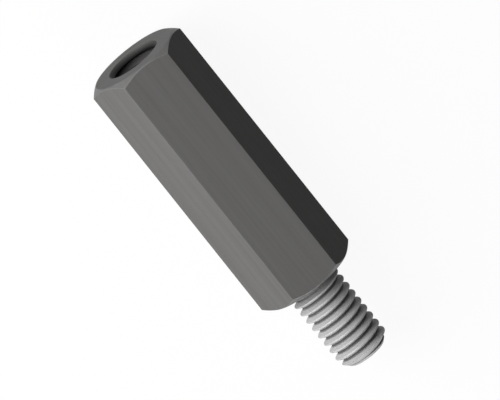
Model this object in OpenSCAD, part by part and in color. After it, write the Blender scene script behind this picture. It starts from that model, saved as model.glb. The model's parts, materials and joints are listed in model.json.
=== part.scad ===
// Hexagon standoff, male to female: a length of hexagon bar with a tapped blind
// hole in one end and a threaded stud turned on the other. It is one turned piece.
// It lies on one of its flats. The axis runs along X, and the origin is on the axis
// in the plane of the shoulder, where the body seats on a panel. The stud points
// along +X and the tapped hole opens towards -X.

/* [Body] */
// Width across the flats of the hexagon
across_flats = 10; // [9:0.5:13]
// Length of the hexagon body, from end face to shoulder
body_len = 30; // [20:1:60]
// How far an end chamfer cuts in past the flats, measured on the end face
end_chamfer_inset = 0.15; // [0.05:0.05:0.5]
// Angle between an end chamfer and its end face
end_chamfer_angle = 35; // [20:1:45]

/* [Thread] */
// Nominal diameter of the thread, on the stud and in the hole
thread_d = 6; // [4:0.5:7]
// Pitch of the thread
thread_pitch = 1; // [0.5:0.05:1.25]
// Amount by which the crest diameter of the stud is under the nominal diameter
crest_allowance = 0.06; // [0:0.02:0.2]

/* [Stud] */
// Length of the stud beyond the shoulder
stud_len = 10; // [5:1:25]
// Leg of the 45 degree chamfer on the tip of the stud
tip_chamfer = 0.9; // [0.2:0.1:1.2]

/* [Tapped hole] */
// Depth of the drilled hole, to the end of its full diameter
drill_depth = 15; // [6:1:16]
// Included angle of the drill point at the bottom of the hole
drill_point_angle = 118; // [90:2:140]
// Included angle of the countersink
countersink_angle = 90; // [60:5:120]
// Radial margin of the countersink over the nominal thread
countersink_margin = 0.1; // [0.05:0.05:0.5]

/* [Hidden] */

round_fn = 96;
cut_over = 1;

corner_r = across_flats / 2 / cos(30);
end_face_r = across_flats / 2 - end_chamfer_inset;

// The hole has the diameter that is drilled before it is tapped.
crest_r = (thread_d - crest_allowance) / 2;
tap_drill_r = (thread_d - thread_pitch) / 2;
countersink_r = thread_d / 2 + countersink_margin;

// The groove of the stud's thread has the depth and the flanks of a metric thread.
// Each of its turns is cut as short arcs, and each arc lies one step further along.
// The crest between two turns is a little narrower than that step.
flank_slope = tan(30);
groove_depth = 0.613 * thread_pitch;
arcs_per_turn = 10;
arc_lap = 1;
arc_step = thread_pitch / arcs_per_turn;
groove_mouth = thread_pitch - 0.96 * arc_step;
groove_over = thread_pitch / 50;
groove_fn = 48;

// The middle of the first groove on the side of the upper flat, and the run-out next to
// the shoulder, over which the groove gets its full depth.
first_groove = 0.71 * thread_pitch;
runout_start = 0.15 * thread_pitch;
runout_end = 0.96 * thread_pitch;

// Hexagon bar along Z, with its shoulder at z = 0 and a corner on each side in Y.
// One cone chamfers all the corners of an end and grazes the flats, which leaves the
// curved edge that such a cone cuts on each flat.
module hexagon_bar() {
    chamfer_rise = (corner_r - end_face_r) * tan(end_chamfer_angle);
    intersection() {
        translate([0, 0, -body_len])
            rotate(30)
                cylinder(h = body_len, r = corner_r, $fn = 6);
        rotate_extrude($fn = round_fn)
            polygon([
                [0, -body_len],
                [end_face_r, -body_len],
                [corner_r, -body_len + chamfer_rise],
                [corner_r, -chamfer_rise],
                [end_face_r, 0],
                [0, 0]
            ]);
    }
}

// Blind hole up from z = 0, with its countersink and its drill point. The cutter
// carries on along the slope of the countersink below z = 0.
module tapped_hole() {
    sink_slope = tan(countersink_angle / 2);
    sink_depth = (countersink_r - tap_drill_r) / sink_slope;
    point_len = tap_drill_r / tan(drill_point_angle / 2);
    rotate_extrude($fn = round_fn)
        polygon([
            [0, -cut_over],
            [countersink_r + cut_over * sink_slope, -cut_over],
            [tap_drill_r, sink_depth],
            [tap_drill_r, drill_depth],
            [0, drill_depth + point_len]
        ]);
}

// Section of the thread groove, with its middle at height 0.
module groove_section() {
    mouth = groove_mouth / 2 + groove_over * flank_slope;
    root = groove_mouth / 2 - groove_depth * flank_slope;
    polygon([
        [crest_r + groove_over, -mouth],
        [crest_r + groove_over, mouth],
        [crest_r - groove_depth, root],
        [crest_r - groove_depth, -root]
    ]);
}

// The right-hand thread groove, as a cutter that climbs round the Z axis.
module thread_groove() {
    arc = 360 / arcs_per_turn;
    arcs = (ceil(stud_len / thread_pitch) + 2) * arcs_per_turn;
    half_turn = arcs_per_turn / 2;
    for (n = [0 : arcs - 1])
        rotate(n * arc)
            rotate_extrude(angle = arc + arc_lap, $fn = groove_fn)
                translate([0, first_groove + (n + 0.5 - half_turn) * arc_step - thread_pitch])
                    groove_section();
}

// What the groove leaves standing next to the shoulder, where it gets shallow.
module runout_core() {
    outer_r = crest_r + 2 * groove_over;
    slope = groove_depth / (runout_end - runout_start);
    rotate_extrude($fn = round_fn)
        polygon([
            [0, -2 * thread_pitch],
            [outer_r, -2 * thread_pitch],
            [outer_r, runout_start - 2 * groove_over / slope],
            [crest_r - groove_depth, runout_end],
            [0, runout_end]
        ]);
}

// Stud up from z = 0, sunk into the bar below it, with a chamfered tip.
module plain_stud() {
    rotate_extrude($fn = round_fn)
        polygon([
            [0, -cut_over],
            [crest_r, -cut_over],
            [crest_r, stud_len - tip_chamfer],
            [crest_r - tip_chamfer, stud_len],
            [0, stud_len]
        ]);
}

module threaded_stud() {
    difference() {
        plain_stud();
        difference() {
            thread_groove();
            runout_core();
        }
    }
}

module hex_standoff() {
    color("dimgray")
        rotate([0, 90, 0]) {
            difference() {
                hexagon_bar();
                translate([0, 0, -body_len])
                    tapped_hole();
            }
            threaded_stud();
        }
}

hex_standoff();
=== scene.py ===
# The looks of a hexagon standoff: a drawn hexagon bar with turned ends, a tapped
# blind hole in one end and a threaded stud on the other, lying on a pale floor.
import json
import math

import bmesh
import bpy
from mathutils import Matrix, Vector


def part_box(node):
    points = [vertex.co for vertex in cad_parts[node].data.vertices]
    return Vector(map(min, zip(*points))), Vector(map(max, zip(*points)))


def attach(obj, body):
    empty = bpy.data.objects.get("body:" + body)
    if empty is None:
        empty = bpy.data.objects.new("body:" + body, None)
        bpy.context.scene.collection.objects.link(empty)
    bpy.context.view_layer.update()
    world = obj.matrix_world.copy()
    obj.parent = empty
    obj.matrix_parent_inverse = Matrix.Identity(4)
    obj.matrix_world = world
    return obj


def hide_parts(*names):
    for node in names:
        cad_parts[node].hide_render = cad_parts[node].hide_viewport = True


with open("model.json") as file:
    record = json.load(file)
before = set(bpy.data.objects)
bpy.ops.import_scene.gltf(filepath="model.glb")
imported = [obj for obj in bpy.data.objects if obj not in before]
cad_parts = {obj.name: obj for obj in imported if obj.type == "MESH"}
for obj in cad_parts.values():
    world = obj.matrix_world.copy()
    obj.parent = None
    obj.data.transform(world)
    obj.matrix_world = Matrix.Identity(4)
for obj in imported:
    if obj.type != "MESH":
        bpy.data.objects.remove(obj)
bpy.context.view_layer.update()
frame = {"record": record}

# Sizes are in millimetres from here on. MM turns them into metres.
MM = 0.001
NODE = "hex_standoff"

# Main sizes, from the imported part. The axis is X, and the shoulder is at X = 0.
low, high = (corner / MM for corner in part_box(NODE))
mounts = {mount["name"]: mount for mount in frame["record"]["mounts"]}
ACROSS_FLATS = high.z - low.z
BODY_LEN = -low.x
STUD_LEN = high.x
CREST_R = mounts["stud"]["dims"]["r_mm"]
TIP_CHAMFER = STUD_LEN - mounts["stud"]["dims"]["length_mm"]
TAP_DRILL_R = mounts["tapped_hole"]["dims"]["r_mm"]
BORE_START = mounts["tapped_hole"]["pos_m"][0] / MM
DRILL_END = BORE_START + mounts["tapped_hole"]["dims"]["length_mm"]

# Details of the turned form.
END_CHAMFER_INSET = 0.15
END_CHAMFER_ANGLE = math.radians(35)
DRILL_POINT_ANGLE = math.radians(118)
COUNTERSINK_R = TAP_DRILL_R + (BORE_START + BODY_LEN)
THREAD_DEPTH = 12.0

# Metric thread: its flanks stand at 30 degrees to the cross-section.
PITCH = 1.0
FLANK_SLOPE = 1 / math.tan(math.radians(30))
CREST_BLUNT = 0.02
FLANK_SUPPORTS = (0.15, 0.85)

# The thread of the stud: where its groove is on top, and where it runs out.
STUD_GROOVE_DEPTH = 0.6134 * PITCH
STUD_ROOT_ROUND = 0.1443 * PITCH
STUD_GROOVE_AT_TOP = 0.71 * PITCH
RUNOUT_START = 0.15 * PITCH
RUNOUT_DEEP = 0.96 * PITCH

# The thread of the hole, which starts at the inner edge of the countersink.
HOLE_GROOVE_DEPTH = 0.5 * PITCH
HOLE_ROOT_FLAT = PITCH / 8
HOLE_GROOVE_AT_TOP = -BODY_LEN + 0.4
HOLE_RUNOUT = 1.5 * PITCH
HOLE_THREAD_END = -BODY_LEN + THREAD_DEPTH
HOLE_THREAD_START = -BODY_LEN + (COUNTERSINK_R - TAP_DRILL_R - HOLE_GROOVE_DEPTH)

# Small roundings that real edges have. A support is a ring or column next to a rounding,
# which keeps the shading of the flat beside it flat.
CORNER_ROUND = 0.045
CORNER_SUPPORT = 0.12
COUNTERSINK_ROUND = 0.03
RIM_ROUND = 0.04
RIM_SUPPORT = 0.03
TIP_ROUND = 0.05
STUD_FILLET = 0.1
SHARP_ANGLE = math.radians(42)

# The photograph's view is a parallel one. The axis is tilted towards the camera at the
# hole's end, and the part is rolled a little about its axis.
AXIS_TILT = math.radians(14.12)
FLAT_ROLL = math.radians(3.03)
AXIS_ANGLE_IN_VIEW = math.radians(51.433)
VIEW_WIDTH = 51.58
VIEW_CENTRE_ALONG = -10.20
VIEW_CENTRE_ACROSS = 0.36
CAMERA_DISTANCE = 120.0
CLIP_START = 1
CLIP_END = 1000


def add_camera():
    """The camera looks down on the part, with the axis running down to the right."""
    towards = Vector((
        -math.sin(AXIS_TILT),
        -math.cos(AXIS_TILT) * math.sin(FLAT_ROLL),
        math.cos(AXIS_TILT) * math.cos(FLAT_ROLL),
    ))
    along = (Vector((1, 0, 0)) + math.sin(AXIS_TILT) * towards).normalized()
    across = towards.cross(along)
    cos_a, sin_a = math.cos(AXIS_ANGLE_IN_VIEW), math.sin(AXIS_ANGLE_IN_VIEW)
    right = cos_a * along + sin_a * across
    up = cos_a * across - sin_a * along
    target = VIEW_CENTRE_ALONG * along + VIEW_CENTRE_ACROSS * across
    data = bpy.data.cameras.new("camera")
    data.type = "ORTHO"
    data.ortho_scale = VIEW_WIDTH * MM
    data.clip_start = CLIP_START * MM
    data.clip_end = CLIP_END * MM
    camera = bpy.data.objects.new("camera", data)
    turn = Matrix((right, up, towards)).transposed().to_4x4()
    place = Matrix.Translation((target + CAMERA_DISTANCE * towards) * MM)
    camera.matrix_world = place @ turn
    bpy.context.collection.objects.link(camera)
    bpy.context.scene.camera = camera


# The solid is made of columns that run round the axis and of rings that run along it.
# Angles go from +Y towards +Z, so that a right-hand helix climbs in X with the angle.
SIDES = 6
CORNER_STEPS = 4
FLAT_STEPS = 20
ROUND_STEPS = 3
ROOT_STEPS = (0, 20, 40, 60)
FILLET_STEPS = (0, 30, 60, 90)


def corner_arc():
    """The rounded corner at angle 0, as (angle, radius, is on the rounding)."""
    centre = (ACROSS_FLATS / 2 - CORNER_ROUND) / math.cos(math.pi / SIDES)
    points = []
    for step in range(CORNER_STEPS + 1):
        normal = (step / CORNER_STEPS - 0.5) * 2 * math.pi / SIDES
        y = centre + CORNER_ROUND * math.cos(normal)
        z = CORNER_ROUND * math.sin(normal)
        points.append((math.atan2(z, y), math.hypot(y, z), 1.0))
    return points


def hexagon_columns():
    """Every column as (angle, radius of the hexagon there, share of corner rounding)."""
    sector = 2 * math.pi / SIDES
    arc = corner_arc()
    support = arc[-1][0] + CORNER_SUPPORT / (ACROSS_FLATS / 2)
    columns = []
    for side in range(SIDES):
        start = side * sector
        columns += [(start + angle, radius, edge) for angle, radius, edge in arc]
        for step in range(FLAT_STEPS + 1):
            angle = support + (sector - 2 * support) * step / FLAT_STEPS
            radius = ACROSS_FLATS / 2 / math.cos(angle - sector / 2)
            columns.append((start + angle, radius, 0.0))
    return columns


COLUMNS = hexagon_columns()


class Builder:
    """Collects the corners and faces of one closed mesh."""

    def __init__(self):
        self.points = []
        self.faces = []
        self.finishes = []
        self.edge_shares = []
        self.groove_shares = []

    def point(self, x, radius, angle, edge=0.0, groove=0.0):
        """Adds a corner with its shares of edge and groove. Returns its number."""
        y = radius * math.cos(angle)
        z = radius * math.sin(angle)
        self.points.append((x * MM, y * MM, z * MM))
        self.edge_shares.append(edge)
        self.groove_shares.append(groove)
        return len(self.points) - 1

    def ring(self, place, edge=0.0):
        """A closed ring. place gives (x, radius) from a column's hexagon radius."""
        made = []
        for angle, hexagon_r, corner in COLUMNS:
            x, radius = place(hexagon_r)
            on_body = radius > ACROSS_FLATS / 2 - END_CHAMFER_INSET / 2
            made.append(self.point(x, radius, angle, max(edge, corner if on_body else 0)))
        return made

    def face(self, corners, finish):
        """One face, without the corners that fall together."""
        kept = [c for n, c in enumerate(corners) if c != corners[n - 1]]
        if len(set(kept)) > 2:
            self.faces.append(kept)
            self.finishes.append(finish)

    def band(self, ring_a, ring_b, finish):
        """The faces between two closed rings."""
        count = len(ring_a)
        for n in range(count):
            m = (n + 1) % count
            self.face([ring_a[n], ring_a[m], ring_b[m], ring_b[n]], finish)

    def cap(self, ring, x, finish):
        """Closes a ring with a fan to a point on the axis."""
        centre = self.point(x, 0.0, 0.0)
        count = len(ring)
        for n in range(count):
            self.face([ring[n], ring[(n + 1) % count], centre], finish)


def rounded_corner(before, corner, after, size):
    """The curve that rounds a corner of a profile, with its two supports.

    Each point comes with its share of edge.
    """
    to_before = (before - corner).normalized()
    to_after = (after - corner).normalized()
    start = corner + to_before * size
    end = corner + to_after * size
    points = [(corner + to_before * (size + RIM_SUPPORT), 0.0)]
    for step in range(ROUND_STEPS + 1):
        t = step / ROUND_STEPS
        bent = (1 - t) ** 2 * start + 2 * t * (1 - t) * corner + t ** 2 * end
        points.append((bent, 1.0))
    points.append((corner + to_after * (size + RIM_SUPPORT), 0.0))
    return points


def groove_form(depth, root_flat, root_round):
    """Half of one thread groove, from its middle out, as (distance, depth).

    Its root is either rounded or flat.
    """
    if root_round:
        angles = [math.radians(a) for a in ROOT_STEPS]
        root = [
            (root_round * math.sin(a), depth - root_round * (1 - math.cos(a)))
            for a in angles
        ]
    else:
        root = [(0.0, depth), (root_flat / 2, depth)]
    flank_start, flank_depth = root[-1]
    top = flank_start + flank_depth / FLANK_SLOPE
    flank = [
        (flank_start + share * (top - flank_start), flank_depth * (1 - share))
        for share in FLANK_SUPPORTS
    ]
    crest = [(top - CREST_BLUNT / FLANK_SLOPE, CREST_BLUNT), (top + CREST_BLUNT, 0.0)]
    return root + flank + crest


class Thread:
    """A right-hand thread cut into a round wall, inwards or outwards.

    form is half of its groove, and at_top is a place where the groove is on top.
    chamfer_start is where the chamfer at the open end begins to cut the thread
    away, at 45 degrees. runout is where the groove begins and where it is deep.
    """

    def __init__(self, form, wall_r, inwards, at_top, chamfer_start, runout):
        mirrored = [(-s, d) for s, d in reversed(form[1:])]
        self.period = mirrored + form
        self.wall_r = wall_r
        self.inwards = inwards
        self.at_top = at_top
        self.chamfer_start = chamfer_start
        self.runout = runout
        self.deepest = form[0][1]

    def past_chamfer(self, x):
        """How deep the chamfer cuts at x."""
        past = x - self.chamfer_start
        return past if self.inwards else -past

    def allowed_depth(self, x):
        """How deep the groove may be at x, because of its run-out."""
        begin, deep = self.runout
        return self.deepest * min(max((x - begin) / (deep - begin), 0.0), 1.0)

    def radius(self, depth):
        return self.wall_r - depth if self.inwards else self.wall_r + depth

    def column(self, angle, start, end):
        """(x, depth) of every ring of the thread along one column."""
        turn = (angle - math.pi / 2) / (2 * math.pi)
        first = math.floor((start - self.at_top) / PITCH) - 1
        last = math.ceil((end - self.at_top) / PITCH) + 1
        points = []
        for groove in range(first, last + 1):
            middle = self.at_top + (groove + turn) * PITCH
            points += [(middle + s, depth) for s, depth in self.period]
        return self.trimmed(points)

    def trimmed(self, points):
        """The same rings, with those beyond the chamfer moved onto it."""
        spare = [depth - self.past_chamfer(x) for x, depth in points]
        done = list(points)
        for n, (x, depth) in enumerate(points):
            if spare[n] >= 0:
                done[n] = (x, min(depth, self.allowed_depth(x)))
                continue
            done[n] = (x, self.past_chamfer(x))
            for near in (n - 1, n + 1):
                if 0 <= near < len(points) and spare[near] > 0:
                    share = spare[n] / (spare[n] - spare[near])
                    edge_x = x + share * (points[near][0] - x)
                    done[n] = (edge_x, self.past_chamfer(edge_x))
        return done


def thread_zone(builder, thread, ring_a, ring_b, start, end, finish):
    """The threaded wall between two plain rings, at x = start and x = end."""
    per_turn = len(thread.period)
    grid = []
    for n, (angle, _, _) in enumerate(COLUMNS):
        corners = []
        for x, depth in thread.column(angle, start, end):
            if x <= start:
                corners.append(ring_a[n])
            elif x >= end:
                corners.append(ring_b[n])
            else:
                share = depth / thread.deepest
                radius = thread.radius(depth)
                corners.append(builder.point(x, radius, angle, 0.0, share))
        grid.append(corners)
    # One turn on, each ring meets the ring of the next groove.
    grid.append(grid[0][per_turn:] + [ring_b[0]] * per_turn)
    for here, there in zip(grid, grid[1:]):
        for n in range(len(here) - 1):
            builder.face([here[n], there[n], there[n + 1], here[n + 1]], finish)


# The finishes, in the order of the materials on the mesh.
DRAWN, TURNED, CHAMFER, THREADED, BORED = range(5)


def add_hole(builder):
    """The tapped blind hole, from the drill point out. Returns the ring at its mouth."""
    point_len = TAP_DRILL_R / math.tan(DRILL_POINT_ANGLE / 2)
    bottom = builder.ring(lambda _: (DRILL_END, TAP_DRILL_R))
    builder.cap(bottom, DRILL_END + point_len, BORED)
    inner = builder.ring(lambda _: (HOLE_THREAD_END, TAP_DRILL_R))
    builder.band(inner, bottom, BORED)
    outer = builder.ring(lambda _: (HOLE_THREAD_START, TAP_DRILL_R + HOLE_GROOVE_DEPTH))
    thread = Thread(
        form=groove_form(HOLE_GROOVE_DEPTH, HOLE_ROOT_FLAT, 0.0),
        wall_r=TAP_DRILL_R,
        inwards=False,
        at_top=HOLE_GROOVE_AT_TOP,
        chamfer_start=BORE_START,
        runout=(HOLE_THREAD_END, HOLE_THREAD_END - HOLE_RUNOUT),
    )
    thread_zone(builder, thread, outer, inner, HOLE_THREAD_START, HOLE_THREAD_END, BORED)
    return outer


def body_profile(hexagon_r):
    """The outline of one column of the body, from the countersink to the stud."""
    end_face_r = ACROSS_FLATS / 2 - END_CHAMFER_INSET
    rise = (hexagon_r - end_face_r) * math.tan(END_CHAMFER_ANGLE)
    corners = [
        Vector((HOLE_THREAD_START, TAP_DRILL_R + HOLE_GROOVE_DEPTH)),
        Vector((-BODY_LEN, COUNTERSINK_R)),
        Vector((-BODY_LEN, end_face_r)),
        Vector((-BODY_LEN + rise, hexagon_r)),
        Vector((-rise, hexagon_r)),
        Vector((0.0, end_face_r)),
        Vector((0.0, CREST_R)),
    ]
    sizes = [COUNTERSINK_ROUND, RIM_ROUND, RIM_ROUND, RIM_ROUND, RIM_ROUND]
    points = []
    for n, size in enumerate(sizes, start=1):
        points += rounded_corner(corners[n - 1], corners[n], corners[n + 1], size)
    return points


# The finish of each band of that outline: countersink, end face, chamfer, flats, chamfer
# and shoulder.
BODY_FINISHES = (
    [BORED] * 4
    + [TURNED] * 5
    + [CHAMFER] * 7
    + [DRAWN] * 5
    + [CHAMFER] * 7
    + [TURNED] * 2
)


def add_body(builder, mouth):
    """The body, from the mouth of the hole to the shoulder."""
    rings = [mouth]
    for step, (_, edge) in enumerate(body_profile(ACROSS_FLATS / 2)):
        rings.append(builder.ring(lambda r: body_profile(r)[step][0], edge))
    for n, (ring_a, ring_b) in enumerate(zip(rings, rings[1:])):
        builder.band(ring_a, ring_b, BODY_FINISHES[n])
    return rings[-1]


def add_stud(builder, shoulder):
    """The threaded stud, from the shoulder to its tip."""
    chamfer_start = STUD_LEN - TIP_CHAMFER
    thread_end = chamfer_start + STUD_GROOVE_DEPTH + CREST_BLUNT
    tip_r = CREST_R - TIP_CHAMFER
    rings = [shoulder]
    for turn in FILLET_STEPS:
        x = STUD_FILLET * (1 - math.cos(math.radians(turn)))
        radius = CREST_R + STUD_FILLET * (1 - math.sin(math.radians(turn)))
        rings.append(builder.ring(lambda _: (x, radius)))
    for ring_a, ring_b in zip(rings, rings[1:]):
        builder.band(ring_a, ring_b, TURNED)
    outer = builder.ring(lambda _: (thread_end, CREST_R - (thread_end - chamfer_start)))
    thread = Thread(
        form=groove_form(STUD_GROOVE_DEPTH, 0.0, STUD_ROOT_ROUND),
        wall_r=CREST_R,
        inwards=True,
        at_top=STUD_GROOVE_AT_TOP,
        chamfer_start=chamfer_start,
        runout=(RUNOUT_START, RUNOUT_DEEP),
    )
    thread_zone(builder, thread, rings[-1], outer, STUD_FILLET, thread_end, THREADED)
    tip = [
        Vector((thread_end, CREST_R - (thread_end - chamfer_start))),
        Vector((STUD_LEN, tip_r)),
        Vector((STUD_LEN, 0.0)),
    ]
    ring_a = outer
    for place, edge in rounded_corner(*tip, TIP_ROUND):
        ring_b = builder.ring(lambda _: place, edge)
        builder.band(ring_a, ring_b, THREADED)
        ring_a = ring_b
    inner = builder.ring(lambda _: (STUD_LEN, tip_r / 2))
    builder.band(ring_a, inner, TURNED)
    builder.cap(inner, STUD_LEN, TURNED)


def build_standoff():
    """The whole part as one closed mesh."""
    builder = Builder()
    mouth = add_hole(builder)
    shoulder = add_body(builder, mouth)
    add_stud(builder, shoulder)
    mesh = bpy.data.meshes.new("standoff")
    mesh.from_pydata(builder.points, [], builder.faces)
    mesh.polygons.foreach_set("material_index", builder.finishes)
    for name, values in (
        ("edge_share", builder.edge_shares),
        ("groove_share", builder.groove_shares),
    ):
        mesh.attributes.new(name, "FLOAT", "POINT").data.foreach_set("value", values)
    mesh.validate()
    return mesh


def tidy_normals(mesh):
    """Turns every face outwards and shades all but the hard edges smooth."""
    work = bmesh.new()
    work.from_mesh(mesh)
    bmesh.ops.recalc_face_normals(work, faces=work.faces)
    work.to_mesh(mesh)
    work.free()
    mesh.polygons.foreach_set("use_smooth", [True] * len(mesh.polygons))
    mesh.set_sharp_from_angle(angle=SHARP_ANGLE)


def new_group(name, inputs, outputs):
    """An empty shader node group with the named inputs and outputs."""
    group = bpy.data.node_groups.new(name, "ShaderNodeTree")
    for label, kind, value in inputs:
        socket = group.interface.new_socket(label, in_out="INPUT", socket_type=kind)
        if value is not None:
            socket.default_value = value
    for label, kind in outputs:
        group.interface.new_socket(label, in_out="OUTPUT", socket_type=kind)
    return group, group.nodes.new("NodeGroupInput"), group.nodes.new("NodeGroupOutput")


def math_node(tree, operation, a, b=None, clamp=False):
    """A Math node. a and b are sockets or numbers. Returns its output."""
    node = tree.nodes.new("ShaderNodeMath")
    node.operation = operation
    node.use_clamp = clamp
    for socket, value in zip(node.inputs, (a, b)):
        if isinstance(value, (int, float)):
            socket.default_value = value
        elif value is not None:
            tree.links.new(value, socket)
    return node.outputs[0]


def spread(tree, value, low_out, high_out, low_in=0.0, high_in=1.0):
    """A Map Range node from one span to another."""
    node = tree.nodes.new("ShaderNodeMapRange")
    tree.links.new(value, node.inputs["Value"])
    for label, number in (
        ("From Min", low_in),
        ("From Max", high_in),
        ("To Min", low_out),
        ("To Max", high_out),
    ):
        if isinstance(number, (int, float)):
            node.inputs[label].default_value = number
        else:
            tree.links.new(number, node.inputs[label])
    return node.outputs["Result"]


def noise(tree, vector, scale, detail=3.0, roughness=0.5, dimensions="3D"):
    """A Noise Texture. vector is the coordinate, or W for one dimension."""
    node = tree.nodes.new("ShaderNodeTexNoise")
    node.noise_dimensions = dimensions
    tree.links.new(vector, node.inputs["W" if dimensions == "1D" else "Vector"])
    node.inputs["Scale"].default_value = scale
    node.inputs["Detail"].default_value = detail
    node.inputs["Roughness"].default_value = roughness
    return node.outputs["Fac"]


def drawing_lines_group():
    """Fine lines along the bar, left by the drawing die."""
    group, given, out = new_group(
        "drawing_lines",
        [("Position", "NodeSocketVector", None)],
        [("Fine", "NodeSocketFloat"), ("Broad", "NodeSocketFloat")],
    )
    for label, along, across in (("Fine", 0.12, 9.0), ("Broad", 0.03, 1.6)):
        stretch = group.nodes.new("ShaderNodeMapping")
        stretch.inputs["Scale"].default_value = (along, across, across)
        group.links.new(given.outputs["Position"], stretch.inputs["Vector"])
        lines = noise(group, stretch.outputs["Vector"], 1.0, 5.0, 0.65)
        group.links.new(lines, out.inputs[label])
    return group


def turning_marks_group():
    """Rings left by the tool on a turned face, cone or cylinder."""
    group, given, out = new_group(
        "turning_marks",
        [
            ("Position", "NodeSocketVector", None),
            ("Rings per mm", "NodeSocketFloat", 12.0),
        ],
        [("Marks", "NodeSocketFloat")],
    )
    parts = group.nodes.new("ShaderNodeSeparateXYZ")
    group.links.new(given.outputs["Position"], parts.inputs[0])
    y_squared = math_node(group, "MULTIPLY", parts.outputs["Y"], parts.outputs["Y"])
    z_squared = math_node(group, "MULTIPLY", parts.outputs["Z"], parts.outputs["Z"])
    from_axis = math_node(group, "SQRT", math_node(group, "ADD", y_squared, z_squared))
    place = math_node(group, "ADD", from_axis, parts.outputs["X"])
    wander = noise(group, given.outputs["Position"], 0.4, 2.0)
    place = math_node(group, "ADD", place, math_node(group, "MULTIPLY", wander, 0.05))
    place = math_node(group, "MULTIPLY", place, given.outputs["Rings per mm"])
    group.links.new(noise(group, place, 1.0, 3.0, 0.6, "1D"), out.inputs["Marks"])
    return group


def steel_mottle_group():
    """Soft clouds of a slightly lighter and darker tone, and small specks."""
    group, given, out = new_group(
        "steel_mottle",
        [("Position", "NodeSocketVector", None)],
        [("Clouds", "NodeSocketFloat"), ("Specks", "NodeSocketFloat")],
    )
    clouds = noise(group, given.outputs["Position"], 0.35, 4.0, 0.55)
    group.links.new(spread(group, clouds, 0.0, 1.0, 0.3, 0.7), out.inputs["Clouds"])
    specks = noise(group, given.outputs["Position"], 5.0, 3.0, 0.6)
    group.links.new(spread(group, specks, 0.0, 1.0, 0.58, 0.75), out.inputs["Specks"])
    return group


def rubbed_edge_group():
    """Where handling has rubbed an edge bright, from the mesh's share of edge."""
    group, given, out = new_group(
        "rubbed_edge",
        [
            ("Position", "NodeSocketVector", None),
            ("Edge", "NodeSocketFloat", 0.0),
            ("Amount", "NodeSocketFloat", 0.5),
        ],
        [("Rubbed", "NodeSocketFloat")],
    )
    patches = noise(group, given.outputs["Position"], 0.9, 4.0, 0.6)
    patches = spread(group, patches, 0.35, 1.0, 0.35, 0.6)
    rubbed = math_node(group, "MULTIPLY", given.outputs["Edge"], patches)
    rubbed = math_node(group, "MULTIPLY", rubbed, given.outputs["Amount"], True)
    group.links.new(rubbed, out.inputs["Rubbed"])
    return group


# The effects that more than one finish may use.
GROUPS = {
    "lines": drawing_lines_group(),
    "marks": turning_marks_group(),
    "mottle": steel_mottle_group(),
    "edge": rubbed_edge_group(),
}


# The sockets of a Mix node that mixes colours, by number, because their names repeat.
MIX_COLOUR_A = 6
MIX_COLOUR_B = 7
MIX_RESULT = 2


class Finish:
    """A steel material with the parts that every finish here shares.

    Only its share of metal reflects, so that it gets no paler at a glancing angle.
    """

    def __init__(self, name, metallic):
        self.material = bpy.data.materials.new(name)
        self.material.use_nodes = True
        self.tree = self.material.node_tree
        self.shader = self.tree.nodes["Principled BSDF"]
        self.shader.inputs["Metallic"].default_value = metallic
        self.shader.inputs["Specular IOR Level"].default_value = 0.0
        coordinates = self.tree.nodes.new("ShaderNodeTexCoord")
        in_mm = self.tree.nodes.new("ShaderNodeVectorMath")
        in_mm.operation = "SCALE"
        in_mm.inputs["Scale"].default_value = 1 / MM
        self.tree.links.new(coordinates.outputs["Object"], in_mm.inputs[0])
        self.position = in_mm.outputs[0]

    def effect(self, key, **values):
        """Adds one of the groups, with its inputs set or linked. Returns its outputs."""
        node = self.tree.nodes.new("ShaderNodeGroup")
        node.node_tree = GROUPS[key]
        self.tree.links.new(self.position, node.inputs["Position"])
        for label, value in values.items():
            socket = node.inputs[label.replace("_", " ")]
            if isinstance(value, (int, float)):
                socket.default_value = value
            else:
                self.tree.links.new(value, socket)
        return node.outputs

    def attribute(self, name):
        """A value that the mesh carries at its corners."""
        node = self.tree.nodes.new("ShaderNodeAttribute")
        node.attribute_name = name
        return node.outputs["Fac"]

    def mix(self, share, colour_a, colour_b):
        """A colour between two, which are sockets or plain colours."""
        node = self.tree.nodes.new("ShaderNodeMix")
        node.data_type = "RGBA"
        self.tree.links.new(share, node.inputs["Factor"])
        for number, colour in ((MIX_COLOUR_A, colour_a), (MIX_COLOUR_B, colour_b)):
            socket = node.inputs[number]
            if isinstance(colour, tuple):
                socket.default_value = (*colour, 1.0)
            else:
                self.tree.links.new(colour, socket)
        return node.outputs[MIX_RESULT]

    def add(self, *values):
        """The sum of sockets and numbers."""
        total = values[0]
        for value in values[1:]:
            total = math_node(self.tree, "ADD", total, value)
        return total

    def times(self, value, factor):
        """A socket times a number."""
        return math_node(self.tree, "MULTIPLY", value, factor)

    def finish(self, colour, roughness, height, depth_mm):
        """Links the surface to the shader. Returns the material."""
        bump = self.tree.nodes.new("ShaderNodeBump")
        bump.inputs["Distance"].default_value = depth_mm * MM
        self.tree.links.new(colour, self.shader.inputs["Base Color"])
        self.tree.links.new(roughness, self.shader.inputs["Roughness"])
        self.tree.links.new(height, bump.inputs["Height"])
        self.tree.links.new(bump.outputs["Normal"], self.shader.inputs["Normal"])
        return self.material


def grey(level, warmth=0.0):
    """A linear colour of that sRGB level from 0 to 255, a little warm or cool."""
    value = level / 255
    linear = value / 12.92 if value <= 0.04045 else ((value + 0.055) / 1.055) ** 2.4
    return (linear * (1 + warmth), linear, linear * (1 - warmth))


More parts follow.
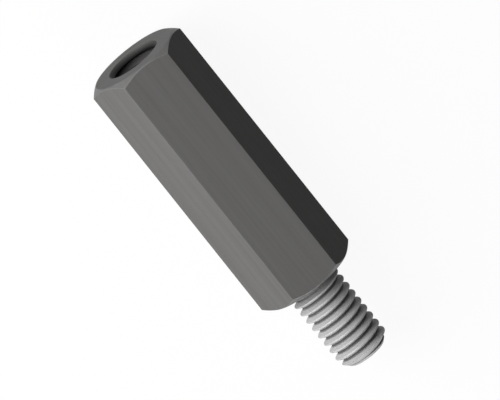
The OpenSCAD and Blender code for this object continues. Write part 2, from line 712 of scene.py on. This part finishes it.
def drawn_steel():
    """The flats of the bar: grey drawn steel, satin, with fine lines along it."""
    steel = Finish("drawn_steel", 0.17)
    lines = steel.effect("lines")
    mottle = steel.effect("mottle")
    rubbed = steel.effect("edge", Edge=steel.attribute("edge_share"), Amount=0.05)
    streaks = spread(steel.tree, lines["Broad"], 0.0, 1.0, 0.35, 0.65)
    colour = steel.mix(streaks, grey(89, 0.02), grey(94, 0.015))
    colour = steel.mix(steel.times(mottle["Specks"], 0.25), colour, grey(76, 0.03))
    colour = steel.mix(rubbed["Rubbed"], colour, grey(150, 0.01))
    roughness = steel.add(
        0.36,
        steel.times(lines["Fine"], 0.12),
        steel.times(mottle["Clouds"], 0.06),
    )
    height = steel.add(lines["Fine"], steel.times(lines["Broad"], 0.6))
    return steel.finish(colour, roughness, height, 0.002)


def turned_steel():
    """The end face, the shoulder and the tip: turned, with fine rings."""
    steel = Finish("turned_steel", 0.3)
    marks = steel.effect("marks", Rings_per_mm=10.0)
    mottle = steel.effect("mottle")
    rubbed = steel.effect("edge", Edge=steel.attribute("edge_share"), Amount=0.1)
    colour = steel.mix(mottle["Clouds"], grey(94, 0.015), grey(102, 0.01))
    colour = steel.mix(steel.times(marks["Marks"], 0.3), colour, grey(82, 0.02))
    colour = steel.mix(rubbed["Rubbed"], colour, grey(150, 0.01))
    roughness = steel.add(0.3, steel.times(marks["Marks"], 0.16))
    return steel.finish(colour, roughness, marks["Marks"], 0.006)


def chamfer_steel():
    """The chamfers of the hexagon: a bright cut, with fine rings."""
    steel = Finish("chamfer_steel", 0.5)
    marks = steel.effect("marks", Rings_per_mm=12.0)
    mottle = steel.effect("mottle")
    rubbed = steel.effect("edge", Edge=steel.attribute("edge_share"), Amount=0.08)
    colour = steel.mix(mottle["Clouds"], grey(104, 0.015), grey(114, 0.01))
    colour = steel.mix(steel.times(marks["Marks"], 0.3), colour, grey(92, 0.02))
    colour = steel.mix(rubbed["Rubbed"], colour, grey(160, 0.01))
    roughness = steel.add(0.32, steel.times(marks["Marks"], 0.14))
    return steel.finish(colour, roughness, marks["Marks"], 0.005)


def threaded_steel():
    """The stud's thread: bright on its crests and flanks, with painted shade that darkens
    it down in its roots.
    """
    steel = Finish("threaded_steel", 0.3)
    marks = steel.effect("marks", Rings_per_mm=24.0)
    mottle = steel.effect("mottle")
    groove = steel.attribute("groove_share")
    colour = steel.mix(mottle["Clouds"], grey(160), grey(168))
    # Painted shade: the thread is darkened towards the bottom of each groove, where shade
    # falls.
    dark = spread(steel.tree, groove, 0.0, 0.85, 0.72, 0.98)
    colour = steel.mix(dark, colour, grey(66, 0.01))
    roughness = steel.add(
        0.5,
        steel.times(marks["Marks"], 0.12),
        steel.times(groove, 0.12),
    )
    return steel.finish(colour, roughness, marks["Marks"], 0.003)


# Where the bore's own finish takes over from the countersink's, and where painted shade
# darkens it deeper in.
BORE_FROM = BORE_START + 0.3
DARK_FROM = BORE_START + 0.4
DARK_TO = BORE_START + 1.1
DEEPEST_SHADE = 0.75
SINK_SHADE_FADE = 0.6


def bored_steel():
    """The inside of the tapped hole, with painted shade: darker down the countersink, in
    the roots of the thread and further into the bore.
    """
    steel = Finish("bored_steel", 0.3)
    marks = steel.effect("marks", Rings_per_mm=16.0)
    mottle = steel.effect("mottle")
    groove = steel.attribute("groove_share")
    colour = steel.mix(mottle["Clouds"], grey(88, 0.02), grey(96, 0.02))
    # Painted shade: the bore's thread is darker in its roots.
    colour = steel.mix(steel.times(groove, 0.5), colour, grey(56, 0.03))
    depth = steel.tree.nodes.new("ShaderNodeSeparateXYZ")
    steel.tree.links.new(steel.position, depth.inputs[0])
    x = depth.outputs["X"]
    # Painted shade: the countersink darkens from its rim to near black at its inner edge.
    sink_shade = spread(steel.tree, x, 0.0, 1.0, -BODY_LEN, BORE_START)
    sink_shade = math_node(steel.tree, "POWER", sink_shade, SINK_SHADE_FADE)
    sink = steel.mix(sink_shade, grey(92, 0.02), grey(4, 0.03))
    # Painted shade: the bore gets darker the deeper it goes.
    deep = spread(steel.tree, x, 0.0, DEEPEST_SHADE, DARK_FROM, DARK_TO)
    colour = steel.mix(deep, colour, grey(30, 0.03))
    in_bore = spread(steel.tree, x, 0.0, 1.0, BORE_START, BORE_FROM)
    colour = steel.mix(in_bore, sink, colour)
    roughness = steel.add(0.45, steel.times(marks["Marks"], 0.14))
    return steel.finish(colour, roughness, marks["Marks"], 0.004)


def seen_directly(tree):
    """1 for what the camera sees, straight or in a reflection or refraction, else 0."""
    path = tree.nodes.new("ShaderNodeLightPath").outputs
    seen = math_node(tree, "ADD", path["Is Camera Ray"], path["Is Glossy Ray"])
    return math_node(tree, "ADD", seen, path["Is Transmission Ray"], True)


# The floor is grey paper for the light, and white paper where it is seen. Most of what is
# seen of it glows white, and the rest holds the shadow.
FLOOR_SIZE = 900.0
FLOOR_GREY = 0.25
FLOOR_WHITE = 0.8
FLOOR_GLOW_SHARE = 0.93


def add_floor():
    """A plain pale floor that keeps the part's shadow."""
    mesh = bpy.data.meshes.new("floor")
    half = FLOOR_SIZE / 2 * MM
    z = low.z * MM
    corners = [(-half, -half, z), (half, -half, z), (half, half, z), (-half, half, z)]
    mesh.from_pydata(corners, [], [(0, 1, 2, 3)])
    floor = bpy.data.objects.new("floor", mesh)
    bpy.context.collection.objects.link(floor)
    material = bpy.data.materials.new("floor_paper")
    material.use_nodes = True
    tree = material.node_tree
    shader = tree.nodes["Principled BSDF"]
    seen = seen_directly(tree)
    paper = spread(tree, seen, FLOOR_GREY, FLOOR_WHITE)
    tree.links.new(paper, shader.inputs["Base Color"])
    shader.inputs["Roughness"].default_value = 1.0
    shader.inputs["Specular IOR Level"].default_value = 0.0
    glow = tree.nodes.new("ShaderNodeEmission")
    glow.inputs["Color"].default_value = (1, 1, 1, 1)
    glow.inputs["Strength"].default_value = 1.0
    blend = tree.nodes.new("ShaderNodeMixShader")
    share = math_node(tree, "MULTIPLY", seen, FLOOR_GLOW_SHARE)
    tree.links.new(share, blend.inputs["Fac"])
    tree.links.new(shader.outputs[0], blend.inputs[1])
    tree.links.new(glow.outputs[0], blend.inputs[2])
    tree.links.new(blend.outputs[0], tree.nodes["Material Output"].inputs["Surface"])
    mesh.materials.append(material)


WORLD_STRENGTH = 0.04


def add_world():
    """A plain surround: faint for the light, and white where it is seen."""
    world = bpy.data.worlds.new("surround")
    bpy.context.scene.world = world
    world.use_nodes = True
    tree = world.node_tree
    background = tree.nodes["Background"]
    background.inputs["Color"].default_value = (1, 1, 1, 1)
    strength = spread(tree, seen_directly(tree), WORLD_STRENGTH, 1.0)
    tree.links.new(strength, background.inputs["Strength"])


LAMP_DISTANCE = 300


def add_lamp(name, direction, size, power):
    """A square soft lamp that faces the part from that direction."""
    data = bpy.data.lights.new(name, "AREA")
    data.shape = "SQUARE"
    data.size = size * MM
    data.energy = power
    lamp = bpy.data.objects.new(name, data)
    place = Vector(direction).normalized() * LAMP_DISTANCE * MM
    lamp.location = place
    lamp.rotation_mode = "QUATERNION"
    lamp.rotation_quaternion = place.to_track_quat("Z", "Y")
    bpy.context.collection.objects.link(lamp)


add_camera()
mesh = build_standoff()
tidy_normals(mesh)
for finish in (drawn_steel, turned_steel, chamfer_steel, threaded_steel, bored_steel):
    mesh.materials.append(finish())
standoff = bpy.data.objects.new("standoff", mesh)
bpy.context.collection.objects.link(standoff)
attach(standoff, "root")
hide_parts(NODE)

add_floor()
add_world()
add_lamp("key_lamp", (-0.48, -0.66, 0.56), 260, 1.53)
add_lamp("left_lamp", (-0.25, -0.95, 0.15), 240, 0.48)
add_lamp("rim_lamp", (0.95, -0.25, 0.26), 160, 0.7)
bpy.context.scene.view_settings.view_transform = "Standard"
